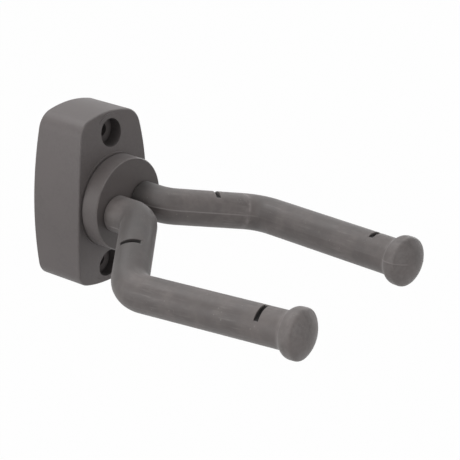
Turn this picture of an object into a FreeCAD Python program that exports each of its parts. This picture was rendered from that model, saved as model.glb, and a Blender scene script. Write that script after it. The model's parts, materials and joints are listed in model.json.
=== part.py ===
import FreeCAD, Part
import Sketcher
import math
import os

# Wall hanger for one guitar: a moulded base screwed to the wall carries a disc that swivels,
# and two bent steel rods in rubber sleeves stand out of the disc and hold the headstock.
#
# Frame: millimetres, +Z up, +X to the right as seen from the room, +Y into the wall.
# The origin lies on the wall plane, on the swivel axis. The hanger reaches out towards -Y.
# Each piece is built round its own origin and its Placement puts it where it belongs.

V = FreeCAD.Vector

DRIVING_SIZES = {
    # arms
    "rod_radius": 4.0,
    "sleeve_radius": 7.0,
    "root_gap": 1.4,                 # between the sleeves where they leave the disc
    "root_drop": 0.6,                # the arms' roots lie this far below the swivel axis
    "root_reach": 12.1,              # disc's face to the first bend's corner
    "splay_side": 32.3,              # first corner to second corner, sideways
    "splay_reach": 20.6,             # first corner to second corner, outwards
    "fork_reach": 75.75,             # second corner to the tip, outwards
    "toe_in": 7.2,                   # second corner to the tip, inwards
    "first_bend_inside": 0.5,        # inner radius of the sleeve's bends
    "second_bend_inside": 4.5,
    "arm_droop": 17.0,               # degrees, each arm's plane about its own root
    "yoke_turn": 7.0,                # degrees, left arm down, as the yoke rests
    "rod_end_cover": 4.0,            # rubber past the rod's end
    # bulb at each tip
    "bulb_rise": 2.35,               # widest section over the sleeve
    "bulb_front": 4.3,               # tip back to the widest section
    "bulb_land": 1.5,                # straight part of the widest section
    "bulb_shoulder_radius": 1.7,     # front rim
    "bulb_back_radius": 4.2,         # rear rim
    "bulb_flare_radius": 2.7,        # hollow run from the rear rim to the sleeve
    # narrow slots across the top of the rubber
    "slot_width": 1.8,
    "slot_depth": 1.55,
    "splay_slot_place": 19.2,        # first corner to the slot on the splayed run
    "fork_slot_place": 18.75,        # tip back to the slot on the forward run
    # swivel
    "disc_rim": 3.5,                 # disc's edge past the sleeves
    "disc_thickness": 7.1,
    "disc_edge_chamfer": 0.35,
    "drum_wall": 1.6,                # the turning drum's edge past the rods
    "running_gap": 0.05,             # radial, round the drum
    "drum_end_gap": 0.2,             # under the drum
    "bearing_floor": 2.6,            # under the drum
    "boss_wall": 2.2,                # round the drum's bearing
    "collar_wall": 2.0,              # round the recess for the retaining screw
    "washer_radius": 6.4,            # outside of the rear washers
    "recess_gap": 1.2,               # radial, round the rear washers
    "seat_washer_thickness": 0.7,    # friction washer between disc and base
    "seat_washer_inset": 0.5,        # inside the disc's rim, and outside the drum
    "rear_washer_thickness": 0.8,    # friction washer behind the bearing floor
    "steel_washer_thickness": 1.0,
    "spring_washer_rise": 1.1,       # conical spring washer as fitted
    "spring_washer_sheet": 0.5,
    "thread_radius": 3.0,            # retaining screw
    "thread_end_gap": 0.4,           # from the screw's tip to the insert's end
    "screw_side_gap": 0.3,           # radial, round the screw's shank
    "insert_side_gap": 0.02,         # radial, between the insert and its screw
    "head_radius": 5.2,              # retaining screw's head
    "head_height": 3.2,
    "head_dome_radius": 7.0,
    "hexagon_flats": 4.0,            # key socket
    "hexagon_depth": 2.0,
    "wall_clearance": 1.7,           # behind the retaining screw's head
    "insert_wall": 1.1,              # brass insert's wall round the thread
    "insert_length": 6.4,
    "rod_end_wall": 1.1,             # between the rods' ends and the insert
    # moulded base
    "base_depth": 23.0,              # wall to the middle of the front face
    "base_side_margin": 1.3,         # base's side past the disc, across the middle
    "side_bow": 3.7,                 # the sides draw in this much towards the ends
    "end_bow": 2.85,                 # and the ends this much towards the sides
    "base_end_margin": 2.75,         # base's end past the counterbores
    "base_crown_radius": 212.0,      # the front face falls away up and down
    "base_corner_radius": 7.6,
    "base_edge_radius": 0.7,         # round the front face
    "base_wall": 2.8,
    "base_front_wall": 4.4,
    "rib_thickness": 2.4,
    "seat_margin": 0.5,              # flat land under the disc, past its rim
    # wall screws
    "screw_gap": 2.7,                # disc's rim to the counterbores
    "screw_hole_radius": 2.6,
    "counterbore_radius": 5.5,
    "counterbore_depth": 6.6,        # from the middle of the front face
    "tower_wall": 1.9,               # round the counterbores
}

LEFT = -1
RIGHT = 1
TOUCH = 0.01                         # how near counts as the same place, when edges are picked


# ---------------------------------------------------------------- sizes

class Size:
    """A number together with the formula that works it out from the sheet's cells."""

    def __init__(self, number, formula):
        self.number = number
        self.formula = formula

    def joined(self, sign, other, number):
        text = other.formula if isinstance(other, Size) else repr(other)
        return Size(number, "(%s %s %s)" % (self.formula, sign, text))

    def __add__(self, other):
        return self.joined("+", other, self.number + plain(other))

    def __sub__(self, other):
        return self.joined("-", other, self.number - plain(other))

    def __mul__(self, other):
        return self.joined("*", other, self.number * plain(other))

    def __truediv__(self, other):
        return self.joined("/", other, self.number / plain(other))

    def __neg__(self):
        return self * -1


def plain(value):
    return value.number if isinstance(value, Size) else value


def root_of(size):
    return Size(math.sqrt(size.number), "sqrt(%s)" % size.formula)


def sine(size):
    return Size(math.sin(math.radians(size.number)), "sin(%s)" % size.formula)


def cosine(size):
    return Size(math.cos(math.radians(size.number)), "cos(%s)" % size.formula)


def slope(rise, run):
    """The angle of a line, in degrees."""
    number = math.degrees(math.atan(rise.number / run.number))
    return Size(number, "atan(%s / %s)" % (rise.formula, run.formula))


def arc_radius(half_chord, bow):
    """The radius of the arc that rises by bow over half_chord."""
    return (half_chord * half_chord + bow * bow) / (bow * 2)


class Sizes:
    """The driving sizes by name, and the sizes that follow from them."""

    def __init__(self):
        for name, number in DRIVING_SIZES.items():
            setattr(self, name, Size(number, "sizes." + name))

        self.root_side = self.sleeve_radius + self.root_gap / 2
        self.bulb_radius = self.sleeve_radius + self.bulb_rise
        self.first_bend_radius = self.sleeve_radius + self.first_bend_inside
        self.second_bend_radius = self.sleeve_radius + self.second_bend_inside
        self.tip_reach = self.root_reach + self.splay_reach + self.fork_reach

        self.disc_radius = self.root_side + self.sleeve_radius + self.disc_rim
        self.drum_radius = self.root_side + self.rod_radius + self.drum_wall
        self.bearing_radius = self.drum_radius + self.running_gap
        self.boss_radius = self.bearing_radius + self.boss_wall
        self.recess_radius = self.washer_radius + self.recess_gap
        self.screw_way_radius = self.thread_radius + self.screw_side_gap
        self.insert_radius = self.thread_radius + self.insert_wall

        # Distances in front of the wall, from the retaining screw's head forwards.
        self.head_seat = self.wall_clearance + self.head_height
        self.spring_front = self.head_seat + self.spring_washer_rise
        self.steel_front = self.spring_front + self.steel_washer_thickness
        self.recess_depth = self.steel_front + self.rear_washer_thickness
        self.floor_front = self.recess_depth + self.bearing_floor
        self.drum_back = self.floor_front + self.drum_end_gap
        self.disc_back = self.base_depth + self.seat_washer_thickness
        self.disc_front = self.disc_back + self.disc_thickness
        self.rod_embed = self.disc_front - self.drum_back - self.insert_length - self.rod_end_wall

        self.screw_place = self.disc_radius + self.screw_gap + self.counterbore_radius
        self.tower_radius = self.counterbore_radius + self.tower_wall
        self.seat_radius = self.disc_radius + self.seat_margin
        self.half_width = self.disc_radius + self.base_side_margin
        self.half_height = self.screw_place + self.counterbore_radius + self.base_end_margin
        self.base_corner_x = self.half_width - self.side_bow
        self.base_corner_z = self.half_height - self.end_bow


# ---------------------------------------------------------------- document helpers

def make_sheet(doc):
    """One row for each driving size, with the size's name as the cell's alias."""
    sheet = doc.addObject("Spreadsheet::Sheet", "sizes")
    for row, (name, number) in enumerate(DRIVING_SIZES.items(), start=1):
        sheet.set("A%d" % row, name)
        sheet.set("B%d" % row, str(number))
        sheet.setAlias("B%d" % row, name)
    doc.recompute()


def drive(thing, place, size):
    """Binds a property to a size, so that it follows the sheet."""
    thing.setExpression(place, size.formula)


def new_body(doc, label, front_of_wall=None):
    """A body of its own name, its origin the given distance in front of the wall."""
    body = doc.addObject("PartDesign::Body", label)
    body.Label = label
    if front_of_wall is not None:
        drive(body, "Placement.Base.y", -front_of_wall)
    return body


def turn_body(body, axis, angle):
    body.Placement = FreeCAD.Placement(V(0, 0, 0), FreeCAD.Rotation(axis, angle.number))
    drive(body, "Placement.Rotation.Angle", angle)


def new_sketch(body, name, role="XZ_Plane", lift=None):
    """A sketch on one of the body's own planes, moved along the plane's normal by lift."""
    sketch = body.newObject("Sketcher::SketchObject", name)
    plane = [item for item in body.Origin.OriginFeatures if item.Role == role]
    sketch.AttachmentSupport = [(plane[0], "")]
    sketch.MapMode = "FlatFace"
    if lift is not None:
        drive(sketch, "AttachmentOffset.Base.z", lift)
    return sketch


def constrain(sketch, kind, *items):
    return sketch.addConstraint(Sketcher.Constraint(kind, *items))


def measure(sketch, name, size, kind, *items):
    """A dimension: a constraint of its own name that follows a size."""
    index = constrain(sketch, kind, *items, size.number)
    sketch.renameConstraint(index, name)
    drive(sketch, "Constraints." + name, size)


def side_distance(sketch, name, size, curve, end, side=RIGHT):
    """How far a point lies from the upright axis, on the given side."""
    if side == RIGHT:
        measure(sketch, name, size, "DistanceX", -1, 1, curve, end)
    else:
        measure(sketch, name, size, "DistanceX", curve, end, -1, 1)


def height(sketch, name, size, curve, end):
    """How far a point lies above the level axis."""
    measure(sketch, name, size, "DistanceY", -1, 1, curve, end)


def depth(sketch, name, size, curve, end):
    """How far a point lies below the level axis."""
    measure(sketch, name, size, "DistanceY", curve, end, -1, 1)


def closed_loop(sketch, curves):
    """Joins the end of each curve to the start of the next."""
    for first, second in zip(curves, curves[1:] + curves[:1]):
        constrain(sketch, "Coincident", first, 2, second, 1)


def polygon(sketch, corners):
    lines = []
    for start, end in zip(corners, corners[1:] + corners[:1]):
        lines.append(sketch.addGeometry(Part.LineSegment(start, end)))
    closed_loop(sketch, lines)
    return lines


def circle(sketch, name, radius):
    """A circle round the sketch's origin."""
    index = sketch.addGeometry(Part.Circle(V(0, 0, 0), V(0, 0, 1), radius.number))
    constrain(sketch, "Coincident", index, 3, -1, 1)
    measure(sketch, name, radius, "Radius", index)


def circle_pair(sketch, name, radius, half_spacing, upright):
    """Two equal circles at the same distance either side of the origin."""
    for place, way in (("first", -1), ("second", 1)):
        away = way * half_spacing.number
        centre = V(0, away, 0) if upright else V(away, 0, 0)
        index = sketch.addGeometry(Part.Circle(centre, V(0, 0, 1), radius.number))
        constrain(sketch, "PointOnObject", index, 3, -2 if upright else -1)
        if not upright:
            side_distance(sketch, name + place, half_spacing, index, 3, way)
        elif way > 0:
            height(sketch, name + place, half_spacing, index, 3)
        else:
            depth(sketch, name + place, half_spacing, index, 3)
        measure(sketch, name + place + "_radius", radius, "Radius", index)


def rectangle(sketch, half_width, half_height):
    """A rectangle centred on the sketch's origin."""
    x = half_width.number
    y = half_height.number
    bottom, right, top, left = polygon(sketch, [V(-x, -y, 0), V(x, -y, 0), V(x, y, 0), V(-x, y, 0)])
    constrain(sketch, "Horizontal", bottom)
    constrain(sketch, "Horizontal", top)
    constrain(sketch, "Vertical", right)
    constrain(sketch, "Vertical", left)
    constrain(sketch, "Symmetric", bottom, 1, top, 1, -1, 1)
    side_distance(sketch, "half_width", half_width, right, 1)
    height(sketch, "half_height", half_height, top, 1)


def arc(centre, radius, start_angle, end_angle):
    return Part.ArcOfCircle(Part.Circle(centre, V(0, 0, 1), radius), start_angle, end_angle)


def feature(body, kind, name, sketch, length=None, **settings):
    """A feature made from a sketch."""
    made = body.newObject("PartDesign::" + kind, name)
    made.Profile = sketch
    for key, value in settings.items():
        setattr(made, key, value)
    if length is not None:
        drive(made, "Length", length)
    body.Document.recompute()
    return made


def revolve(body, name, sketch):
    """A full turn of a half section about the sketch's upright axis."""
    return feature(body, "Revolution", name, sketch, ReferenceAxis=(sketch, ["V_Axis"]), Angle=360.0)


def edge_names(shape, wanted):
    return ["Edge%d" % number for number, edge in enumerate(shape.Edges, start=1) if wanted(edge)]


def dress(body, kind, name, base, edges, setting, size):
    """A Fillet or Chamfer on some edges of the feature before it."""
    made = body.newObject("PartDesign::" + kind, name)
    made.Base = (base, edges)
    drive(made, setting, size)
    body.Document.recompute()
    return made


# ---------------------------------------------------------------- moulded base

def bowed_outline(sketch, s, corner_x, corner_z):
    """Four shallow arcs that meet at four corners, each bowed outwards by its own amount."""
    side_radius = arc_radius(corner_z, s.side_bow)
    end_radius = arc_radius(corner_x, s.end_bow)
    side_half = math.asin(corner_z.number / side_radius.number)
    end_half = math.asin(corner_x.number / end_radius.number)
    side_centre = corner_x.number + s.side_bow.number - side_radius.number
    end_centre = corner_z.number + s.end_bow.number - end_radius.number
    quarter = math.pi / 2
    shapes = (
        arc(V(side_centre, 0, 0), side_radius.number, -side_half, side_half),
        arc(V(0, end_centre, 0), end_radius.number, quarter - end_half, quarter + end_half),
        arc(V(-side_centre, 0, 0), side_radius.number, 2 * quarter - side_half, 2 * quarter + side_half),
        arc(V(0, -end_centre, 0), end_radius.number, 3 * quarter - end_half, 3 * quarter + end_half),
    )
    right, top, left, bottom = [sketch.addGeometry(shape) for shape in shapes]
    closed_loop(sketch, [right, top, left, bottom])
    constrain(sketch, "Symmetric", right, 2, left, 1, -2)
    constrain(sketch, "Symmetric", right, 1, right, 2, -1)
    constrain(sketch, "Symmetric", left, 1, left, 2, -1)
    side_distance(sketch, "corner_x", corner_x, right, 2)
    height(sketch, "corner_z", corner_z, right, 2)
    measure(sketch, "side_radius", side_radius, "Radius", right)
    measure(sketch, "end_radius", end_radius, "Radius", top)
    constrain(sketch, "Equal", right, left)
    constrain(sketch, "Equal", top, bottom)


def crown_waste(sketch, s):
    """What is cut away in front of the crowned face: an arc through the face's middle, closed in front.
    The sketch's level axis runs into the wall and its upright axis is up."""
    radius = s.base_crown_radius.number
    front = -s.base_depth.number
    reach = s.half_height + s.base_depth
    outer = s.base_depth * 2
    turn = math.asin(reach.number / radius)
    edge = front + radius * (1 - math.cos(turn))
    face = sketch.addGeometry(arc(V(front + radius, 0, 0), radius, math.pi - turn, math.pi + turn))
    corners = [V(edge, -reach.number, 0), V(-outer.number, -reach.number, 0),
               V(-outer.number, reach.number, 0), V(edge, reach.number, 0)]
    bottom, room, top = [sketch.addGeometry(Part.LineSegment(start, end))
                         for start, end in zip(corners, corners[1:])]
    closed_loop(sketch, [face, bottom, room, top])
    constrain(sketch, "Horizontal", top)
    constrain(sketch, "Horizontal", bottom)
    constrain(sketch, "Vertical", room)
    constrain(sketch, "PointOnObject", face, 3, -1)
    measure(sketch, "crown_radius", s.base_crown_radius, "Radius", face)
    side_distance(sketch, "crown_centre", s.base_crown_radius - s.base_depth, face, 3)
    height(sketch, "reach", reach, face, 1)
    side_distance(sketch, "room", outer, room, 1, LEFT)


def base_housing(doc, s):
    """The moulded base: a bowed block hollowed from the wall side, with two screw towers and the
    bearing that the swivel drum turns in."""
    body = new_body(doc, "base_housing")
    outline = new_sketch(body, "base_outline")
    bowed_outline(outline, s, s.base_corner_x, s.base_corner_z)
    block = feature(body, "Pad", "base_block", outline, s.base_depth)
    upright = edge_names(block.Shape, lambda edge: edge.BoundBox.YLength > s.base_depth.number - TOUCH)
    dress(body, "Fillet", "base_corners", block, upright, "Radius", s.base_corner_radius)

    waste = new_sketch(body, "crown_waste", "YZ_Plane")
    crown_waste(waste, s)
    crowned = feature(body, "Pocket", "crowned_front", waste, Type="ThroughAll", Midplane=True)
    front = edge_names(crowned.Shape, lambda edge: edge.BoundBox.YMax < -s.base_depth.number / 2)
    dress(body, "Fillet", "front_edge", crowned, front, "Radius", s.base_edge_radius)

    inner = new_sketch(body, "hollow_outline")
    inner_x = s.base_corner_x - s.base_wall
    inner_z = s.base_corner_z - s.base_wall
    bowed_outline(inner, s, inner_x, inner_z)
    hollow = feature(body, "Pocket", "hollow", inner, s.base_depth - s.base_front_wall, Reversed=True)

    def at_hollow_corner(edge):
        centre = edge.BoundBox.Center
        across = abs(abs(centre.x) - inner_x.number)
        along = abs(abs(centre.z) - inner_z.number)
        return max(across, along) < TOUCH < edge.BoundBox.YLength

    dress(body, "Fillet", "hollow_corners", hollow, edge_names(hollow.Shape, at_hollow_corner),
          "Radius", s.base_corner_radius - s.base_wall)

    # Towers, boss and ribs run from the wall plane into the front wall.
    inside = s.base_depth - s.base_front_wall / 2
    towers = new_sketch(body, "screw_towers")
    circle_pair(towers, "tower_", s.tower_radius, s.screw_place, upright=True)
    feature(body, "Pad", "screw_tower_pads", towers, inside)
    upright_rib = new_sketch(body, "upright_rib")
    rectangle(upright_rib, s.rib_thickness / 2, s.base_corner_z - s.base_wall / 2)
    feature(body, "Pad", "upright_rib_pad", upright_rib, inside)
    level_rib = new_sketch(body, "level_rib")
    rectangle(level_rib, s.base_corner_x - s.base_wall / 2, s.rib_thickness / 2)
    feature(body, "Pad", "level_rib_pad", level_rib, inside)
    boss = new_sketch(body, "bearing_boss")
    circle(boss, "boss", s.boss_radius)
    feature(body, "Pad", "bearing_boss_pad", boss, inside)

    # A flat land keeps the disc's seat true on the crowned face.
    seat = new_sketch(body, "disc_seat", lift=inside)
    circle(seat, "seat", s.seat_radius)
    feature(body, "Pad", "disc_seat_pad", seat, s.base_front_wall / 2)

    bearing = new_sketch(body, "bearing_bore", lift=s.base_depth)
    circle(bearing, "bore", s.bearing_radius)
    feature(body, "Pocket", "bearing_pocket", bearing, s.base_depth - s.floor_front)
    ring = new_sketch(body, "ring_hollow")
    circle(ring, "outside", s.bearing_radius)
    circle(ring, "inside", s.recess_radius + s.collar_wall)
    feature(body, "Pocket", "ring_hollow_pocket", ring, s.recess_depth, Reversed=True)
    recess = new_sketch(body, "rear_recess")
    circle(recess, "recess", s.recess_radius)
    feature(body, "Pocket", "rear_recess_pocket", recess, s.recess_depth, Reversed=True)
    screw_way = new_sketch(body, "retainer_way", lift=s.base_depth)
    circle(screw_way, "way", s.screw_way_radius)
    feature(body, "Pocket", "retainer_way_pocket", screw_way, Type="ThroughAll")

    holes = new_sketch(body, "wall_screw_holes", lift=s.base_depth)
    circle_pair(holes, "hole_", s.screw_hole_radius, s.screw_place, upright=True)
    doc.recompute()
    drilled = feature(body, "Hole", "wall_screw_drilling", holes, ThreadType="None", DepthType="ThroughAll",
                      HoleCutType="Counterbore", HoleCutCustomValues=True)
    drive(drilled, "Diameter", s.screw_hole_radius * 2)
    drive(drilled, "HoleCutDiameter", s.counterbore_radius * 2)
    drive(drilled, "HoleCutDepth", s.counterbore_depth)
    body.Tip = drilled
    return body


# ---------------------------------------------------------------- rings and washers

def flat_ring(doc, label, back, outer, inner, thickness):
    """A flat ring, its back face the given distance in front of the wall."""
    body = new_body(doc, label, back)
    section = new_sketch(body, label + "_section")
    circle(section, "outer", outer)
    circle(section, "inner", inner)
    feature(body, "Pad", label + "_pad", section, thickness)
    return body


def spring_washer(doc, s):
    """A conical spring washer, squeezed between the flat steel washer and the screw's head."""
    body = new_body(doc, "spring_washer", s.head_seat)
    section = new_sketch(body, "spring_section", "XY_Plane")
    inner = s.screw_way_radius
    outer = s.washer_radius - s.screw_side_gap
    lift = s.spring_washer_rise - s.spring_washer_sheet
    under, outside, over, inside = polygon(section, [
        V(inner.number, 0, 0), V(outer.number, -lift.number, 0),
        V(outer.number, -s.spring_washer_rise.number, 0), V(inner.number, -s.spring_washer_sheet.number, 0)])
    constrain(section, "PointOnObject", under, 1, -1)
    constrain(section, "Vertical", outside)
    constrain(section, "Vertical", inside)
    side_distance(section, "inner", inner, under, 1)
    side_distance(section, "outer", outer, outside, 1)
    depth(section, "outer_under", lift, outside, 1)
    depth(section, "outer_over", s.spring_washer_rise, over, 1)
    depth(section, "inner_over", s.spring_washer_sheet, inside, 1)
    revolve(body, "spring_cone", section)
    return body


# ---------------------------------------------------------------- swivel disc and its fastener

def hub_disc(doc, s):
    """The round disc in front of the base and the drum behind it, moulded in one round the rods."""
    body = new_body(doc, "hub_disc", s.disc_back)
    turn_body(body, V(0, LEFT, 0), s.yoke_turn)
    rim = new_sketch(body, "disc_rim")
    circle(rim, "rim", s.disc_radius)
    disc = feature(body, "Pad", "disc_pad", rim, s.disc_thickness)
    front = edge_names(disc.Shape, lambda edge: edge.BoundBox.YMax < TOUCH - s.disc_thickness.number)
    dress(body, "Chamfer", "disc_edge", disc, front, "Size", s.disc_edge_chamfer)

    drum = new_sketch(body, "drum_section")
    circle(drum, "drum", s.drum_radius)
    drum_length = s.disc_back - s.drum_back
    feature(body, "Pad", "drum_pad", drum, drum_length, Reversed=True)

    sockets = new_sketch(body, "rod_sockets", lift=s.disc_thickness)
    for name, side in (("left", LEFT), ("right", RIGHT)):
        centre = V(side * s.root_side.number, -s.root_drop.number, 0)
        socket = sockets.addGeometry(Part.Circle(centre, V(0, 0, 1), s.rod_radius.number))
        side_distance(sockets, name + "_side", s.root_side, socket, 3, side)
        depth(sockets, name + "_drop", s.root_drop, socket, 3)
        measure(sockets, name + "_radius", s.rod_radius, "Radius", socket)
    feature(body, "Pocket", "rod_socket_pockets", sockets, s.rod_embed)

    insert_hole = new_sketch(body, "insert_hole", lift=-drum_length)
    circle(insert_hole, "hole", s.insert_radius)
    body.Tip = feature(body, "Pocket", "insert_pocket", insert_hole, s.insert_length, Reversed=True)
    return body


def retaining_screw(doc, s):
    """A domed screw with a hexagon key socket. Its origin is under the head."""
    body = new_body(doc, "retaining_screw", s.head_seat)
    profile = new_sketch(body, "head_profile", "XY_Plane")
    radius = s.head_radius.number
    top = s.head_height.number
    dome = s.head_dome_radius.number
    turn = math.asin(radius / dome)
    shoulder = top - dome * (1 - math.cos(turn))
    under = profile.addGeometry(Part.LineSegment(V(0, 0, 0), V(radius, 0, 0)))
    rim = profile.addGeometry(Part.LineSegment(V(radius, 0, 0), V(radius, shoulder, 0)))
    cap = profile.addGeometry(arc(V(0, top - dome, 0), dome, math.pi / 2 - turn, math.pi / 2))
    axis = profile.addGeometry(Part.LineSegment(V(0, top, 0), V(0, 0, 0)))
    closed_loop(profile, [under, rim, cap, axis])
    constrain(profile, "Coincident", under, 1, -1, 1)
    constrain(profile, "Horizontal", under)
    constrain(profile, "Vertical", rim)
    constrain(profile, "Vertical", axis)
    constrain(profile, "PointOnObject", cap, 3, -2)
    side_distance(profile, "head_radius", s.head_radius, rim, 1)
    height(profile, "head_height", s.head_height, axis, 1)
    measure(profile, "head_dome", s.head_dome_radius, "Radius", cap)
    revolve(body, "screw_head", profile)

    shank = new_sketch(body, "screw_shank")
    circle(shank, "shank", s.thread_radius)
    tip = s.drum_back + s.insert_length - s.thread_end_gap
    feature(body, "Pad", "screw_shank_pad", shank, tip - s.head_seat)

    socket = new_sketch(body, "key_socket", lift=-s.head_height)
    corner = s.hexagon_flats / math.sqrt(3)
    angles = [math.radians(60 * step) for step in range(6)]
    sides = polygon(socket, [V(math.cos(angle), math.sin(angle), 0) * corner.number for angle in angles])
    guide = socket.addGeometry(Part.Circle(V(0, 0, 0), V(0, 0, 1), corner.number), True)
    constrain(socket, "Coincident", guide, 3, -1, 1)
    for line in sides:
        constrain(socket, "PointOnObject", line, 1, guide)
    for line in sides[1:]:
        constrain(socket, "Equal", sides[0], line)
    constrain(socket, "PointOnObject", sides[0], 1, -1)
    measure(socket, "corner", corner, "Radius", guide)
    body.Tip = feature(body, "Pocket", "key_socket_pocket", socket, s.hexagon_depth, Reversed=True)
    return body


# ---------------------------------------------------------------- arms

def arm_body(doc, s, label, side):
    """A body whose XY plane is one arm's own plane, its origin where the arm leaves the disc."""
    body = new_body(doc, label, s.disc_front)
    turn_body(body, V(0, side, 0), s.arm_droop - s.yoke_turn * side)
    away = s.root_side * side
    drive(body, "Placement.Base.x", away * cosine(s.yoke_turn) + s.root_drop * sine(s.yoke_turn))
    drive(body, "Placement.Base.y", -s.disc_front)
    drive(body, "Placement.Base.z", away * sine(s.yoke_turn) - s.root_drop * cosine(s.yoke_turn))
    return body


def rounded_corner(corner, way_in, way_out, radius):
    """The arc that rounds a corner, with the points where it begins and finishes."""
    turn = way_in.getAngle(way_out)
    leg = radius * math.tan(turn / 2)
    inwards = (way_out - way_in).normalize()
    begin = corner - way_in * leg
    finish = corner + way_out * leg
    middle = corner + inwards * (radius / math.cos(turn / 2) - radius)
    return begin, Part.Arc(begin, middle, finish), finish


def arm_path(body, s, name, side, end_gap, embed=None):
    """The arm's centre line: out of the disc, splayed to one side, then forward and a little inwards.
    It stops end_gap short of the bulb's tip, and begins on the disc's face or embed behind it."""
    sketch = new_sketch(body, name, "XY_Plane")
    start = V(0, embed.number if embed else 0, 0)
    first = V(0, -s.root_reach.number, 0)
    second = first + V(side * s.splay_side.number, -s.splay_reach.number, 0)
    tip = second + V(-side * s.toe_in.number, -s.fork_reach.number, 0)
    outwards = (first - start).normalize()
    splayed = (second - first).normalize()
    forward = (tip - second).normalize()
    begin_1, bend_1, finish_1 = rounded_corner(first, outwards, splayed, s.first_bend_radius.number)
    begin_2, bend_2, finish_2 = rounded_corner(second, splayed, forward, s.second_bend_radius.number)

    root_run = sketch.addGeometry(Part.LineSegment(start, begin_1))
    first_bend = sketch.addGeometry(bend_1)
    splay_run = sketch.addGeometry(Part.LineSegment(finish_1, begin_2))
    second_bend = sketch.addGeometry(bend_2)
    fork_run = sketch.addGeometry(Part.LineSegment(finish_2, tip - forward * end_gap.number))
    first_corner = sketch.addGeometry(Part.Point(first), True)
    second_corner = sketch.addGeometry(Part.Point(second), True)
    tip_mark = sketch.addGeometry(Part.Point(tip), True)

    def tangent(line, line_end, bend, point):
        """Joins a line's end to whichever end of a bend lies there."""
        to_start, to_end = [sketch.getPoint(bend, end).distanceToPoint(point) for end in (1, 2)]
        constrain(sketch, "Tangent", line, line_end, bend, 1 if to_start < to_end else 2)

    tangent(root_run, 2, first_bend, begin_1)
    tangent(splay_run, 1, first_bend, finish_1)
    tangent(splay_run, 2, second_bend, begin_2)
    tangent(fork_run, 1, second_bend, finish_2)
    constrain(sketch, "Vertical", root_run)
    if embed:
        constrain(sketch, "PointOnObject", root_run, 1, -2)
        height(sketch, "embed", embed, root_run, 1)
    else:
        constrain(sketch, "Coincident", root_run, 1, -1, 1)
    for corner, runs in ((first_corner, (root_run, splay_run)), (second_corner, (splay_run, fork_run)),
                         (tip_mark, (fork_run,))):
        for run in runs:
            constrain(sketch, "PointOnObject", corner, 1, run)
    measure(sketch, "first_radius", s.first_bend_radius, "Radius", first_bend)
    measure(sketch, "second_radius", s.second_bend_radius, "Radius", second_bend)
    depth(sketch, "first_reach", s.root_reach, first_corner, 1)
    side_distance(sketch, "second_side", s.splay_side, second_corner, 1, side)
    depth(sketch, "second_reach", s.root_reach + s.splay_reach, second_corner, 1)
    side_distance(sketch, "tip_side", s.splay_side - s.toe_in, tip_mark, 1, side)
    depth(sketch, "tip_reach", s.tip_reach, tip_mark, 1)
    measure(sketch, "end_gap", end_gap, "Distance", fork_run, 2, tip_mark, 1)
    return sketch


def sweep(body, kind, name, path, radius, lift=None):
    """A round section carried along a path of three runs and two bends."""
    section = new_sketch(body, name + "_section", lift=lift)
    circle(section, "section", radius)
    body.Document.recompute()
    made = body.newObject("PartDesign::" + kind, name)
    made.Profile = section
    made.Spine = (path, ["Edge%d" % number for number in range(1, 6)])
    body.Document.recompute()
    return made


def core_rod(doc, s, label, side):
    """The bent steel rod inside one arm. Its inner end is moulded into the disc and drum."""
    body = arm_body(doc, s, label, side)
    path = arm_path(body, s, label + "_path", side, s.rod_end_cover, s.rod_embed)
    sweep(body, "AdditivePipe", label + "_sweep", path, s.rod_radius, lift=-s.rod_embed)
    return body


def bulb_profile(sketch, s):
    """Half the bulb's outline, its tip on the origin and its axis upright in the sketch."""
    wide = s.bulb_radius.number
    front = s.bulb_front.number
    rear = front + s.bulb_land.number
    shoulder = s.bulb_shoulder_radius.number
    back_rim = s.bulb_back_radius.number
    flare = s.bulb_flare_radius.number
    sleeve = s.sleeve_radius.number
    crown = (wide ** 2 + front ** 2 - 2 * wide * shoulder) / (2 * (front - shoulder))
    crown_turn = math.atan2(wide - shoulder, crown - front)
    flare_rise = math.sqrt((back_rim + flare) ** 2 - (sleeve + flare - wide + back_rim) ** 2)
    flare_turn = math.asin(flare_rise / (back_rim + flare))
    top = rear + flare_rise
    down = -math.pi / 2
    cap = sketch.addGeometry(arc(V(0, crown, 0), crown, down, down + crown_turn))
    rim = sketch.addGeometry(arc(V(wide - shoulder, front, 0), shoulder, down + crown_turn, 0))
    land = sketch.addGeometry(Part.LineSegment(V(wide, front, 0), V(wide, rear, 0)))
    back = sketch.addGeometry(arc(V(wide - back_rim, rear, 0), back_rim, 0, flare_turn))
    neck = sketch.addGeometry(arc(V(sleeve + flare, top, 0), flare, math.pi, math.pi + flare_turn))
    lid = sketch.addGeometry(Part.LineSegment(V(sleeve, top, 0), V(0, top, 0)))
    axis = sketch.addGeometry(Part.LineSegment(V(0, top, 0), V(0, 0, 0)))
    constrain(sketch, "Coincident", cap, 1, -1, 1)
    constrain(sketch, "PointOnObject", cap, 3, -2)
    constrain(sketch, "Tangent", cap, 2, rim, 1)
    constrain(sketch, "Tangent", rim, 2, land, 1)
    constrain(sketch, "Tangent", land, 2, back, 1)
    constrain(sketch, "Tangent", back, 2, neck, 2)
    constrain(sketch, "Coincident", neck, 1, lid, 1)
    constrain(sketch, "Coincident", lid, 2, axis, 1)
    constrain(sketch, "Coincident", axis, 2, -1, 1)
    constrain(sketch, "Vertical", land)
    constrain(sketch, "Horizontal", lid)
    constrain(sketch, "Vertical", axis)
    constrain(sketch, "Horizontal", neck, 3, neck, 1)
    side_distance(sketch, "widest", s.bulb_radius, land, 1)
    height(sketch, "widest_place", s.bulb_front, land, 1)
    measure(sketch, "land", s.bulb_land, "DistanceY", land, 1, land, 2)
    measure(sketch, "shoulder", s.bulb_shoulder_radius, "Radius", rim)
    measure(sketch, "rear_rim", s.bulb_back_radius, "Radius", back)
    measure(sketch, "flare", s.bulb_flare_radius, "Radius", neck)
    side_distance(sketch, "sleeve", s.sleeve_radius, neck, 1)


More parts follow.
